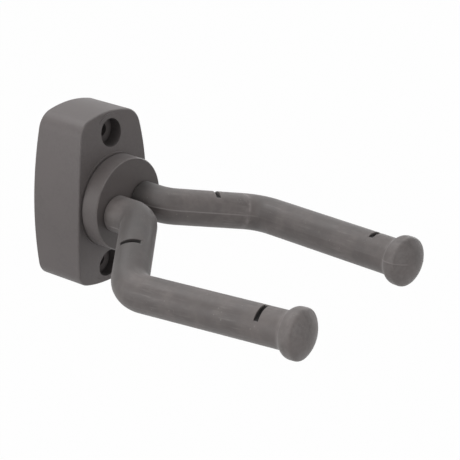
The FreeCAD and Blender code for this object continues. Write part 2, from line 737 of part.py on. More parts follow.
def place_on_arm(sketch, side, across, outwards, swing, swing_side, lift=None):
    """Carries a sketch in the arm's plane to a place on the centre line and turns it in line with
    the run there. swing is the angle between the run and straight ahead, towards swing_side."""
    turn = FreeCAD.Rotation(V(0, 0, swing_side), swing.number)
    sketch.AttachmentOffset = FreeCAD.Placement(V(0, 0, 0), turn)
    drive(sketch, "AttachmentOffset.Base.x", across * side)
    drive(sketch, "AttachmentOffset.Base.y", -outwards)
    drive(sketch, "AttachmentOffset.Rotation.Angle", swing)
    if lift is not None:
        drive(sketch, "AttachmentOffset.Base.z", lift)


def rubber_arm(doc, s, label, side):
    """The rubber sleeve of one arm with the bulb at its tip, bored for its rod, and with the two
    narrow slots across its top that show where the rod was held in the mould."""
    body = arm_body(doc, s, label, side)
    path = arm_path(body, s, label + "_path", side, s.bulb_front)
    sweep(body, "AdditivePipe", label + "_sleeve", path, s.sleeve_radius)

    toe = slope(s.toe_in, s.fork_reach)
    bulb = new_sketch(body, label + "_bulb_profile", "XY_Plane")
    place_on_arm(bulb, side, s.splay_side - s.toe_in, s.tip_reach, toe, -side)
    bulb_profile(bulb, s)
    revolve(body, label + "_bulb", bulb)

    bore_path = arm_path(body, s, label + "_bore_path", side, s.rod_end_cover)
    sweep(body, "SubtractivePipe", label + "_bore", bore_path, s.rod_radius)

    splay_length = root_of(s.splay_side * s.splay_side + s.splay_reach * s.splay_reach)
    fork_length = root_of(s.toe_in * s.toe_in + s.fork_reach * s.fork_reach)
    splay_share = s.splay_slot_place / splay_length
    fork_share = s.fork_slot_place / fork_length
    stations = (
        ("splay", splay_share * s.splay_side, s.root_reach + splay_share * s.splay_reach,
         slope(s.splay_side, s.splay_reach), side),
        ("fork", s.splay_side - s.toe_in + fork_share * s.toe_in, s.tip_reach - fork_share * s.fork_reach,
         toe, -side),
    )
    slot_floor = s.sleeve_radius - s.slot_depth
    for name, across, outwards, swing, swing_side in stations:
        slot = new_sketch(body, "%s_%s_slot" % (label, name), "XY_Plane")
        place_on_arm(slot, side, across, outwards, swing, swing_side, slot_floor)
        rectangle(slot, s.bulb_radius, s.slot_width / 2)
        last = feature(body, "Pocket", "%s_%s_cut" % (label, name), slot, s.sleeve_radius, Reversed=True)
    body.Tip = last
    return body


# ---------------------------------------------------------------- assembly

def build(doc, s):
    """Every piece, with its place worked out from the wall forwards."""
    bodies = [
        base_housing(doc, s),
        flat_ring(doc, "seat_washer", s.base_depth, s.disc_radius - s.seat_washer_inset,
                  s.drum_radius + s.seat_washer_inset, s.seat_washer_thickness),
        flat_ring(doc, "rear_friction_washer", s.steel_front, s.washer_radius, s.screw_way_radius,
                  s.rear_washer_thickness),
        flat_ring(doc, "steel_washer", s.spring_front, s.washer_radius, s.screw_way_radius,
                  s.steel_washer_thickness),
        flat_ring(doc, "threaded_insert", s.drum_back, s.insert_radius, s.thread_radius + s.insert_side_gap,
                  s.insert_length),
        spring_washer(doc, s),
        retaining_screw(doc, s),
        hub_disc(doc, s),
    ]
    for name, side in (("left", LEFT), ("right", RIGHT)):
        bodies.append(core_rod(doc, s, "core_rod_" + name, side))
        bodies.append(rubber_arm(doc, s, "rubber_arm_" + name, side))
    return bodies


def check(doc, bodies):
    """Stops before anything is written if an object failed or a piece isn't one sound solid."""
    for item in doc.Objects:
        if "Invalid" in item.State or "Error" in item.State:
            raise RuntimeError("%s did not build: %s" % (item.Label, item.State))
    for body in bodies:
        if body.Shape.isNull() or not body.Shape.isValid() or len(body.Shape.Solids) != 1:
            raise RuntimeError("%s is not one sound solid" % body.Label)


def main():
    doc = FreeCAD.newDocument("wall_hanger")
    make_sheet(doc)
    bodies = build(doc, Sizes())
    doc.recompute()
    check(doc, bodies)
    os.makedirs("parts", exist_ok=True)
    for body in bodies:
        body.Shape.exportStep("parts/%s.step" % body.Label)
        print("%-24s %8.0f mm3" % (body.Label, body.Shape.Volume))


main()
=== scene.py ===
"""Looks of a wall hanger for one guitar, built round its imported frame.

A moulded base is screwed to the wall. A disc swivels on it, and two bent steel rods in rubber
sleeves stand out of the disc. Lengths are metres; the room is towards -Y and the wall at Y = 0.
"""

import json
import logging
import math
from dataclasses import dataclass
from enum import Enum

import bmesh
import bpy
from mathutils import Matrix, Vector


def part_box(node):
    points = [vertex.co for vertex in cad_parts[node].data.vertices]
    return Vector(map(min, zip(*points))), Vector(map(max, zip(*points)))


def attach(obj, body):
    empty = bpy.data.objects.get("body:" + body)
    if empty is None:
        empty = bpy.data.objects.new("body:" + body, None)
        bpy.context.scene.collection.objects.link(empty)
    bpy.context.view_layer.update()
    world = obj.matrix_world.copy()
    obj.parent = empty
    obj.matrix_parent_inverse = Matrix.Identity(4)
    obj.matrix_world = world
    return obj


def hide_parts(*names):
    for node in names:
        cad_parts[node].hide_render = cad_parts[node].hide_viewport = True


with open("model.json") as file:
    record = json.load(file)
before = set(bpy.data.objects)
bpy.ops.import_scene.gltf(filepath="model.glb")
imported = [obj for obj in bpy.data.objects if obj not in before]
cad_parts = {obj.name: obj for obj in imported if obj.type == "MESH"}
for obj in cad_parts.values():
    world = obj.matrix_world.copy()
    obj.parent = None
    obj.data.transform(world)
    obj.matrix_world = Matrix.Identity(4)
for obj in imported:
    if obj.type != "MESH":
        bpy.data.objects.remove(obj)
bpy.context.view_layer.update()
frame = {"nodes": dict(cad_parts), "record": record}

MM = 0.001
WELD = 1e-7
SHARP = math.radians(38.0)
LOG = logging.getLogger("wall_hanger")

Colour = tuple[float, float, float]
Ring = tuple[float, float]


class Side(Enum):
    """Which arm of the yoke, with its sign along X."""

    LEFT = -1
    RIGHT = 1


class Body(Enum):
    """The two bodies that the pieces ride on."""

    WALL_BASE = "wall_base"
    YOKE = "yoke"


class Slot(Enum):
    """The record's material slots."""

    BASE = "base_plastic"
    DISC = "disc_plastic"
    SLIP = "slip_plastic"
    RUBBER = "arm_rubber"
    ROD = "rod_steel"
    BRASS = "insert_brass"
    ZINC = "zinc_steel"
    SPRING = "spring_steel"
    SCREW = "black_screw"


# ---------------------------------------------------------------- node trees


class Graph:
    """A node tree with short ways to add nodes, set their sockets and join them."""

    def __init__(self, tree: bpy.types.NodeTree) -> None:
        """Keeps the tree that nodes are added to.

        Args:
            tree: A material's tree, a shader group or a geometry group.
        """
        self.tree = tree

    def plug(self, value: object, socket: bpy.types.NodeSocket) -> None:
        """Joins a socket to another, or gives it a plain value.

        Args:
            value: An output socket, or the value itself.
            socket: The input to fill.
        """
        if isinstance(value, bpy.types.NodeSocket):
            self.tree.links.new(value, socket)
        else:
            socket.default_value = value

    def node(self, kind: str, inputs: dict | None = None, **settings: object) -> bpy.types.Node:
        """Adds a node.

        Args:
            kind: The node's type.
            inputs: Values or sockets by input name or number.
            settings: The node's own settings.

        Returns:
            The new node.
        """
        made = self.tree.nodes.new(kind)
        for name, value in settings.items():
            setattr(made, name, value)
        for place, value in (inputs or {}).items():
            self.plug(value, made.inputs[place])
        return made

    def maths(self, operation: str, first: object, second: object = 0.0) -> bpy.types.NodeSocket:
        """One step of arithmetic on two numbers.

        Args:
            operation: The Math node's operation.
            first: A number or socket.
            second: A number or socket.

        Returns:
            The result's socket.
        """
        return self.node("ShaderNodeMath", {0: first, 1: second}, operation=operation).outputs[0]

    def vectors(self, operation: str, first: object, second: object) -> bpy.types.Node:
        """One step of arithmetic on two vectors.

        Args:
            operation: The Vector Math node's operation.
            first: A vector or socket.
            second: A vector or socket.

        Returns:
            The node, whose outputs are a vector and a number.
        """
        return self.node("ShaderNodeVectorMath", {0: first, 1: second}, operation=operation)

    def scaled(self, vector: object, factor: object) -> bpy.types.NodeSocket:
        """A vector times a number.

        Args:
            vector: A vector or socket.
            factor: A number or socket.

        Returns:
            The scaled vector's socket.
        """
        made = self.node("ShaderNodeVectorMath", {0: vector, "Scale": factor}, operation="SCALE")
        return made.outputs["Vector"]

    def smooth_step(self, value: object, low: object, high: object) -> bpy.types.NodeSocket:
        """Rises smoothly from 0 to 1 as the value goes from low to high.

        Args:
            value: A number or socket.
            low: Where the rise begins.
            high: Where it ends.

        Returns:
            The result's socket.
        """
        made = self.node("ShaderNodeMapRange", {0: value, 1: low, 2: high}, interpolation_type="SMOOTHSTEP")
        return made.outputs[0]

    def noise(self, vector: object, scale: object, detail: float, seed: object) -> bpy.types.NodeSocket:
        """Soft noise from 0 to 1.

        Args:
            vector: Where it is read.
            scale: Patches in a metre.
            detail: Layers of finer noise.
            seed: A fixed number or socket, so that two uses differ.

        Returns:
            The noise's socket.
        """
        inputs = {"Vector": vector, "W": seed, "Scale": scale, "Detail": detail}
        return self.node("ShaderNodeTexNoise", inputs, noise_dimensions="4D").outputs[0]

    def blend(self, share: object, first: object, second: object) -> bpy.types.NodeSocket:
        """Blends two colours.

        Args:
            share: How much of the second, from 0 to 1.
            first: A colour or socket.
            second: A colour or socket.

        Returns:
            The blended colour's socket.
        """
        return self.node("ShaderNodeMix", {0: share, 6: first, 7: second}, data_type="RGBA").outputs[2]

    def named(self, name: str) -> bpy.types.NodeSocket:
        """A number written on a geometry's points, by its name."""
        made = self.node("GeometryNodeInputNamedAttribute", {"Name": name}, data_type="FLOAT")
        return made.outputs[0]


def group_tree(
        name: str, kind: str, takes: dict[str, tuple], gives: dict[str, str]) -> tuple[Graph, dict, dict]:
    """Starts a node group with named sockets.

    Args:
        name: The group's name.
        kind: The tree's type.
        takes: Each input's socket type and first value, by name.
        gives: Each output's socket type, by name.

    Returns:
        The graph, its input sockets by name and its output sockets by name.
    """
    tree = bpy.data.node_groups.new(name, kind)
    for label, (socket_type, value) in takes.items():
        socket = tree.interface.new_socket(name=label, in_out="INPUT", socket_type=socket_type)
        if value is not None:
            socket.default_value = value
    for label, socket_type in gives.items():
        tree.interface.new_socket(name=label, in_out="OUTPUT", socket_type=socket_type)
    graph = Graph(tree)
    entry = graph.node("NodeGroupInput").outputs
    leave = graph.node("NodeGroupOutput").inputs
    return graph, {label: entry[label] for label in takes}, {label: leave[label] for label in gives}


def rgba(colour: Colour) -> tuple[float, float, float, float]:
    """The colour with full alpha."""
    return (*colour, 1.0)


# ---------------------------------------------------------------- shared effects

NUMBER = "NodeSocketFloat"
VECTOR = "NodeSocketVector"


class Effects:
    """The shader groups that several finishes share, each built once."""

    def __init__(self) -> None:
        """Builds the groups."""
        self.grain = self.build_grain()
        self.mottle = self.build_mottle()
        self.edge_wear_and_highlight = self.build_edge_wear_and_highlight()
        self.turning = self.build_turning()
        self.streaks = self.build_streaks()
        self.painted_hole_shade = self.build_painted_hole_shade()

    def build_grain(self) -> bpy.types.NodeTree:
        """Fine pitted texture of a spark-eroded mould.

        Returns:
            A group that gives a height and a tone, both from 0 to 1.
        """
        graph, takes, gives = group_tree(
            "mould_grain", "ShaderNodeTree", {"Scale": (NUMBER, 2600.0)}, {"Height": NUMBER, "Tone": NUMBER})
        place = graph.node("ShaderNodeTexCoord").outputs["Object"]
        fine = graph.noise(place, takes["Scale"], 2.0, 1.0)
        coarse = graph.noise(place, graph.maths("MULTIPLY", takes["Scale"], 0.4), 1.0, 2.0)
        height = graph.maths("ADD", graph.maths("MULTIPLY", fine, 0.6), graph.maths("MULTIPLY", coarse, 0.4))
        graph.plug(height, gives["Height"])
        graph.plug(graph.smooth_step(height, 0.36, 0.64), gives["Tone"])
        return graph.tree

    def build_mottle(self) -> bpy.types.NodeTree:
        """Uneven patches and pale dust specks.

        Returns:
            A group that gives patches and specks, both from 0 to 1.
        """
        graph, takes, gives = group_tree(
            "patches_and_dust", "ShaderNodeTree",
            {"Patch Scale": (NUMBER, 90.0), "Speck Scale": (NUMBER, 900.0), "Speck Size": (NUMBER, 0.2)},
            {"Patches": NUMBER, "Specks": NUMBER})
        place = graph.node("ShaderNodeTexCoord").outputs["Object"]
        wide = graph.noise(place, takes["Patch Scale"], 4.0, 3.0)
        graph.plug(graph.smooth_step(wide, 0.34, 0.68), gives["Patches"])
        cells = graph.node("ShaderNodeTexVoronoi", {"Vector": place, "Scale": takes["Speck Scale"]})
        away = graph.smooth_step(cells.outputs["Distance"], 0.02, takes["Speck Size"])
        near = graph.maths("SUBTRACT", 1.0, away)
        crowd = graph.noise(place, graph.maths("MULTIPLY", takes["Speck Scale"], 0.3), 1.0, 4.0)
        graph.plug(graph.maths("MULTIPLY", near, graph.smooth_step(crowd, 0.54, 0.66)), gives["Specks"])
        return graph.tree

    def build_edge_wear_and_highlight(self) -> bpy.types.NodeTree:
        """Rubbed edges with a painted highlight: where the surface turns between an axis and its sides.

        Returns:
            A group that gives a mask from 0 to 1.
        """
        graph, takes, gives = group_tree(
            "edge_wear_and_highlight", "ShaderNodeTree",
            {"Axis": (VECTOR, (0.0, -1.0, 0.0)), "Break Up": (NUMBER, 220.0)}, {"Mask": NUMBER})
        coordinates = graph.node("ShaderNodeTexCoord")
        facing = graph.vectors("DOT_PRODUCT", coordinates.outputs["Normal"], takes["Axis"]).outputs["Value"]
        rise = graph.smooth_step(facing, 0.12, 0.45)
        fall = graph.maths("SUBTRACT", 1.0, graph.smooth_step(facing, 0.80, 0.97))
        patches = graph.noise(coordinates.outputs["Object"], takes["Break Up"], 3.0, 5.0)
        edge = graph.maths("MULTIPLY", rise, fall)
        graph.plug(graph.maths("MULTIPLY", edge, graph.smooth_step(patches, 0.2, 0.6)), gives["Mask"])
        return graph.tree

    def build_turning(self) -> bpy.types.NodeTree:
        """Fine rings left by turning or drawing about the swivel axis.

        Returns:
            A group that gives a height from 0 to 1.
        """
        graph, takes, gives = group_tree(
            "turning_marks", "ShaderNodeTree", {"Pitch": (NUMBER, 0.0001)}, {"Height": NUMBER})
        place = graph.node("ShaderNodeTexCoord").outputs["Object"]
        parts = graph.node("ShaderNodeSeparateXYZ", {0: place})
        across = graph.node("ShaderNodeCombineXYZ", {0: parts.outputs["X"], 1: parts.outputs["Z"]})
        radius = graph.vectors("LENGTH", across.outputs[0], (0.0, 0.0, 0.0)).outputs["Value"]
        run = graph.maths("ADD", radius, graph.maths("MULTIPLY", parts.outputs["Y"], 0.8))
        turns = graph.maths("DIVIDE", run, takes["Pitch"])
        waves = graph.maths("SINE", graph.maths("MULTIPLY", turns, math.tau))
        rough = graph.noise(place, 1800.0, 2.0, 6.0)
        total = graph.node("ShaderNodeMath", {0: waves, 1: 0.25, 2: rough}, operation="MULTIPLY_ADD")
        graph.plug(total.outputs[0], gives["Height"])
        return graph.tree

    def build_streaks(self) -> bpy.types.NodeTree:
        """Faint rubbed streaks that run lengthwise along a moulding, in patches.

        Returns:
            A group that gives a mask from 0 to 1.
        """
        graph, takes, gives = group_tree(
            "rubbed_streaks", "ShaderNodeTree",
            {"Place": (VECTOR, (0.0, 0.0, 0.0)), "Scale": (NUMBER, 1100.0), "Stretch": (NUMBER, 0.12)},
            {"Mask": NUMBER})
        stretch = graph.node("ShaderNodeCombineXYZ", {0: takes["Stretch"], 1: 1.0, 2: 1.0}).outputs[0]
        drawn = graph.vectors("MULTIPLY", takes["Place"], stretch).outputs["Vector"]
        lines = graph.smooth_step(graph.noise(drawn, takes["Scale"], 3.0, 7.0), 0.46, 0.72)
        patches = graph.smooth_step(graph.noise(takes["Place"], 75.0, 2.0, 9.0), 0.38, 0.66)
        graph.plug(graph.maths("MULTIPLY", lines, patches), gives["Mask"])
        return graph.tree

    def build_painted_hole_shade(self) -> bpy.types.NodeTree:
        """Painted shade inside two holes of one size above and below the swivel axis, under a face towards
        -Y.

        Returns:
            A group that gives a mask from 0 to 1.
        """
        graph, takes, gives = group_tree(
            "painted_hole_shade", "ShaderNodeTree",
            {"Place": (NUMBER, 0.0264), "Radius": (NUMBER, 0.0056), "Face": (NUMBER, 0.0222)},
            {"Mask": NUMBER})
        place = graph.node("ShaderNodeTexCoord").outputs["Object"]
        parts = graph.node("ShaderNodeSeparateXYZ", {0: place}).outputs
        up = graph.maths("SUBTRACT", graph.maths("ABSOLUTE", parts["Z"]), takes["Place"])
        across = graph.node("ShaderNodeCombineXYZ", {0: parts["X"], 1: up}).outputs[0]
        radius = graph.vectors("LENGTH", across, (0.0, 0.0, 0.0)).outputs["Value"]
        inside = graph.maths("LESS_THAN", radius, takes["Radius"])
        depth = graph.maths("ADD", parts["Y"], takes["Face"])
        sunk = graph.maths("MULTIPLY", inside, graph.smooth_step(depth, -0.0006, 0.0022))
        at_wall = graph.smooth_step(radius, 0.0040, 0.0053)
        # Painted shade: fainter on the holes' floors, strongest at their walls.
        wall_shade = graph.maths("ADD", 0.3, graph.maths("MULTIPLY", at_wall, 0.7))
        graph.plug(graph.maths("MULTIPLY", sunk, wall_shade), gives["Mask"])
        return graph.tree


# ---------------------------------------------------------------- finishes


class Surface:
    """A material being built: its graph and its shader."""

    def __init__(self, name: str) -> None:
        """Starts a material with one shader.

        Args:
            name: The material's name.
        """
        self.material = bpy.data.materials.new(name)
        self.material.use_nodes = True
        self.graph = Graph(self.material.node_tree)
        self.shader = self.material.node_tree.nodes["Principled BSDF"]

    def effect(self, tree: bpy.types.NodeTree, **inputs: object) -> bpy.types.bpy_prop_collection:
        """Places a shared effect.

        Args:
            tree: The effect's group.
            inputs: Its values, by input name with underscores for spaces.

        Returns:
            The effect's outputs.
        """
        values = {name.replace("_", " "): value for name, value in inputs.items()}
        made = self.graph.node("ShaderNodeGroup", node_tree=tree)
        for name, value in values.items():
            self.graph.plug(value, made.inputs[name])
        return made.outputs

    def stained(self, colour: object, mask: object, share: float, stain: Colour) -> bpy.types.NodeSocket:
        """Blends a colour over another where a mask shows.

        Args:
            colour: The colour or socket beneath.
            mask: A socket from 0 to 1.
            share: How much of the stain there is where the mask is 1.
            stain: The colour laid on.

        Returns:
            The blended colour's socket.
        """
        return self.graph.blend(self.graph.maths("MULTIPLY", mask, share), colour, rgba(stain))

    def uniform(self, **values: float) -> None:
        """Sets plain numbers of the shader.

        Args:
            values: The numbers, by input name with underscores for spaces.
        """
        for name, value in values.items():
            self.shader.inputs[name.replace("_", " ")].default_value = value

    def relief(self, height: object, depth: float) -> None:
        """Gives the shader a bump.

        Args:
            height: The socket that gives the height, from 0 to 1.
            depth: The height that 1 stands for, in metres.
        """
        bump = self.graph.node("ShaderNodeBump", {"Strength": 1.0, "Distance": depth, "Height": height})
        self.graph.plug(bump.outputs[0], self.shader.inputs["Normal"])

    def spread(self, share: object, low: float, high: float) -> bpy.types.NodeSocket:
        """A number that goes from low to high with a share.

        Args:
            share: A socket from 0 to 1.
            low: The number at 0.
            high: The number at 1.

        Returns:
            The number's socket.
        """
        return self.graph.node("ShaderNodeMapRange", {0: share, 3: low, 4: high}).outputs[0]


@dataclass(frozen=True)
class MouldedPlastic:
    """Matt moulded plastic with a fine mould grain, faint patches, rubbed front edges with a painted
    highlight, and painted shade in its screw holes where that is asked for.
    """

    name: str
    colour: Colour
    pale: Colour
    rubbed: Colour
    grain_scale: float = 1400.0
    grain_depth: float = 0.02 * MM
    grain_share: float = 0.7
    dust_share: float = 0.25
    roughness: float = 0.52
    wear_and_highlight: float = 0.5
    wear_shine: float = 0.12
    # Colour and share of the painted shade in the screw holes.
    hole_shade: Colour = (0.020, 0.018, 0.018)
    hole_shade_share: float = 0.0

    def build(self, effects: Effects) -> bpy.types.Material:
        """Builds the material.

        Args:
            effects: The shared groups.

        Returns:
            The material.
        """
        surface = Surface(self.name)
        graph = surface.graph
        grain = surface.effect(effects.grain, Scale=self.grain_scale)
        mottle = surface.effect(effects.mottle, Patch_Scale=70.0, Speck_Scale=700.0, Speck_Size=0.16)
        worn_and_lit_edge = surface.effect(effects.edge_wear_and_highlight)["Mask"]
        colour = graph.blend(mottle["Patches"], rgba(self.colour), rgba(self.pale))
        colour = surface.stained(colour, grain["Tone"], self.grain_share, self.pale)
        colour = surface.stained(colour, mottle["Specks"], self.dust_share, self.rubbed)
        # Rubbed front edges, lightened partly as a painted highlight.
        colour = surface.stained(colour, worn_and_lit_edge, self.wear_and_highlight, self.rubbed)
        # Painted shade inside the screw holes.
        if self.hole_shade_share > 0.0:
            hole_shade_mask = surface.effect(effects.painted_hole_shade)["Mask"]
            colour = surface.stained(colour, hole_shade_mask, self.hole_shade_share, self.hole_shade)
        graph.plug(colour, surface.shader.inputs["Base Color"])
        dull = surface.spread(mottle["Patches"], self.roughness - 0.04, self.roughness + 0.05)
        shine = graph.maths("MULTIPLY", worn_and_lit_edge, self.wear_shine)
        graph.plug(graph.maths("SUBTRACT", dull, shine), surface.shader.inputs["Roughness"])
        surface.uniform(Specular_IOR_Level=0.45, Sheen_Weight=0.10)
        surface.relief(grain["Height"], self.grain_depth)
        return surface.material


@dataclass(frozen=True)
class SleeveRubber:
    """Matt moulded rubber: cloudy, a little dusty, paler where it is rubbed, with painted highlights at the
    bulb's neck and along the seam, and painted shade in its slots, by the disc and on top of the runs.
    """

    name: str
    colour: Colour
    pale: Colour
    dust: Colour
    shade: Colour
    grain_scale: float = 1700.0
    grain_depth: float = 0.02 * MM
    roughness: float = 0.52
    cloud_share: float = 0.35
    band_share: float = 0.25
    dust_share: float = 0.6
    fine_dust_share: float = 0.25
    seam_highlight_share: float = 0.75
    streak_share: float = 0.35

    def build(self, effects: Effects) -> bpy.types.Material:
        """Builds the material.

        Args:
            effects: The shared groups.

        Returns:
            The material.
        """
        surface = Surface(self.name)
        graph = surface.graph
        grain = surface.effect(effects.grain, Scale=self.grain_scale)
        mottle = surface.effect(effects.mottle, Patch_Scale=110.0, Speck_Scale=620.0, Speck_Size=0.26)
        cloud = surface.effect(effects.mottle, Patch_Scale=480.0, Speck_Scale=1500.0, Speck_Size=0.3)
        marks = {name: graph.node("ShaderNodeAttribute", attribute_name=name).outputs["Fac"]
                 for name in ("scuff_and_highlight", "groove", "seam", "band", "painted_shade")}
        along = graph.node("ShaderNodeAttribute", attribute_name="unbent").outputs["Vector"]
        streaks = surface.effect(effects.streaks, Place=along)["Mask"]
        colour = graph.blend(mottle["Patches"], rgba(self.colour), rgba(self.pale))
        colour = surface.stained(colour, cloud["Patches"], self.cloud_share, self.colour)
        colour = surface.stained(colour, marks["band"], self.band_share, self.pale)
        pale_marks = (
            graph.maths("MULTIPLY", mottle["Specks"], self.dust_share),
            graph.maths("MULTIPLY", cloud["Specks"], self.fine_dust_share),
            # Rubbing, with a painted highlight round the bulb's neck.
            graph.maths("MULTIPLY", marks["scuff_and_highlight"], surface.spread(cloud["Patches"], 0.1, 0.95)),
            # A painted highlight along the parting seam's ridge.
            graph.maths("MULTIPLY", marks["seam"], self.seam_highlight_share),
            graph.maths("MULTIPLY", streaks, self.streak_share),
        )
        strongest = pale_marks[0]
        for mark in pale_marks[1:]:
            strongest = graph.maths("MAXIMUM", strongest, mark)
        colour = graph.blend(strongest, colour, rgba(self.dust))
        # Painted shadow by the disc and painted shade on top of the runs.
        colour = graph.blend(marks["painted_shade"], colour, rgba(self.shade))
        # Painted shade in the slots.
        colour = graph.blend(marks["groove"], colour, rgba(self.shade))
        graph.plug(colour, surface.shader.inputs["Base Color"])
        dull = surface.spread(mottle["Patches"], self.roughness - 0.06, self.roughness + 0.08)
        graph.plug(graph.maths("MAXIMUM", dull, marks["groove"]), surface.shader.inputs["Roughness"])
        surface.uniform(Specular_IOR_Level=0.45, Sheen_Weight=0.15)
        surface.relief(grain["Height"], self.grain_depth)
        return surface.material


@dataclass(frozen=True)
class WornMetal:
    """Metal with turning or drawing marks and uneven sheen."""

    name: str
    colour: Colour
    stain: Colour
    roughness: float
    pitch: float = 0.12 * MM
    mark_depth: float = 0.006 * MM
    stain_share: float = 0.5
    metallic: float = 1.0

    def build(self, effects: Effects) -> bpy.types.Material:
        """Builds the material.

        Args:
            effects: The shared groups.

        Returns:
            The material.
        """
        surface = Surface(self.name)
        graph = surface.graph
        marks = surface.effect(effects.turning, Pitch=self.pitch)["Height"]
        mottle = surface.effect(effects.mottle, Patch_Scale=260.0, Speck_Scale=1600.0, Speck_Size=0.22)
        colour = graph.blend(mottle["Patches"], rgba(self.colour), rgba(self.stain))
        colour = surface.stained(colour, mottle["Specks"], self.stain_share, self.stain)
        graph.plug(colour, surface.shader.inputs["Base Color"])
        graph.plug(surface.spread(mottle["Patches"], self.roughness - 0.07, self.roughness + 0.09),
                   surface.shader.inputs["Roughness"])
        surface.uniform(Metallic=self.metallic)
        surface.relief(marks, self.mark_depth)
        return surface.material


class Finishes:
    """Every finish of the hanger, by the record's slot."""

    def __init__(self) -> None:
        """Builds the shared effects and the materials."""
        effects = Effects()
        finishes = {
            Slot.BASE: MouldedPlastic("base_plastic", (0.113, 0.099, 0.097), (0.133, 0.117, 0.115),
                                      (0.180, 0.162, 0.159), hole_shade_share=0.5),
            Slot.DISC: MouldedPlastic("disc_plastic", (0.096, 0.083, 0.081), (0.114, 0.099, 0.096),
                                      (0.200, 0.180, 0.176)),
            Slot.SLIP: MouldedPlastic("slip_plastic", (0.084, 0.075, 0.073), (0.098, 0.088, 0.086),
                                      (0.130, 0.118, 0.116), grain_depth=0.008 * MM, roughness=0.45),
            Slot.RUBBER: SleeveRubber("arm_rubber", (0.108, 0.095, 0.091), (0.176, 0.155, 0.149),
                                      (0.290, 0.262, 0.256), (0.010, 0.009, 0.009)),
            Slot.ROD: WornMetal("rod_steel", (0.46, 0.46, 0.47), (0.34, 0.34, 0.35), 0.38),
            Slot.BRASS: WornMetal("insert_brass", (0.71, 0.56, 0.29), (0.55, 0.42, 0.22), 0.33),
            Slot.ZINC: WornMetal("zinc_steel", (0.60, 0.61, 0.63), (0.48, 0.49, 0.51), 0.36),
            Slot.SPRING: WornMetal("spring_steel", (0.38, 0.38, 0.40), (0.24, 0.23, 0.23), 0.42),
            Slot.SCREW: WornMetal("black_screw", (0.045, 0.045, 0.048), (0.075, 0.072, 0.070), 0.40,
                                  metallic=0.6),
        }
        self.materials = {slot: finish.build(effects) for slot, finish in finishes.items()}

    def dress_frame(self) -> dict[str, str]:
        """Gives every carried-over node the finish of its slot.

        Returns:
            The finish's name, by the node's name.
        """
        dressed = {}
        for part in frame["record"]["subparts"]:
            material = self.materials[Slot(part["material_slot"])]
            for place in frame["nodes"][part["node"]].material_slots:
                place.material = material
            dressed[part["node"]] = material.name
        return dressed


# ---------------------------------------------------------------- pieces


def scene_object(name: str, data: bpy.types.ID) -> bpy.types.Object:
    """Makes an object and links it to the scene.

    Args:
        name: The object's name.
        data: Its mesh, camera or light.

    Returns:
        The object.
    """
    made = bpy.data.objects.new(name, data)
    bpy.context.scene.collection.objects.link(made)
    return made


def plain_mesh(source: bpy.types.Object, name: str) -> bpy.types.Object:
    """Turns an object with a live modifier into a plain mesh object, and removes the first one.

    Args:
        source: The object whose evaluated mesh is wanted.
        name: The new object's name.

    Returns:
        The new object, linked to the scene.
    """
    ready = source.evaluated_get(bpy.context.evaluated_depsgraph_get())
    mesh = bpy.data.meshes.new_from_object(ready)
    mesh.name = name
    bpy.data.objects.remove(source)
    return scene_object(name, mesh)


def geometry_modifier(piece: bpy.types.Object, tree: bpy.types.NodeTree, values: dict[str, object]) -> None:
    """Adds a geometry group to an object and fills its inputs by their identifiers.

    Args:
        piece: The object.
        tree: The geometry group.
        values: The inputs' values, by name.
    """
    modifier = piece.modifiers.new(tree.name, "NODES")
    modifier.node_group = tree
    places = {item.name: item.identifier for item in tree.interface.items_tree if item.in_out == "INPUT"}
    for name, value in values.items():
        modifier[places[name]] = value


def arc_points(centre: Ring, radius: float, start: float, end: float, step: float) -> list[Ring]:
    """Points on an arc in the half section.

    Args:
        centre: The arc's centre, as distance along and distance out.
        radius: The arc's radius.
        start: The first angle, from straight ahead towards outwards.
        end: The last angle.
        step: The longest chord wanted.

    Returns:
        The points, both ends included.
    """
    count = max(3, math.ceil(abs(end - start) * radius / step))
    angles = [start + (end - start) * index / count for index in range(count + 1)]
    return [(centre[0] + radius * math.cos(angle), centre[1] + radius * math.sin(angle)) for angle in angles]


def ramp(value: float, low: float, high: float) -> float:
    """How far a value is from low to high, from 0 to 1."""
    return min(1.0, max(0.0, (value - low) / (high - low)))


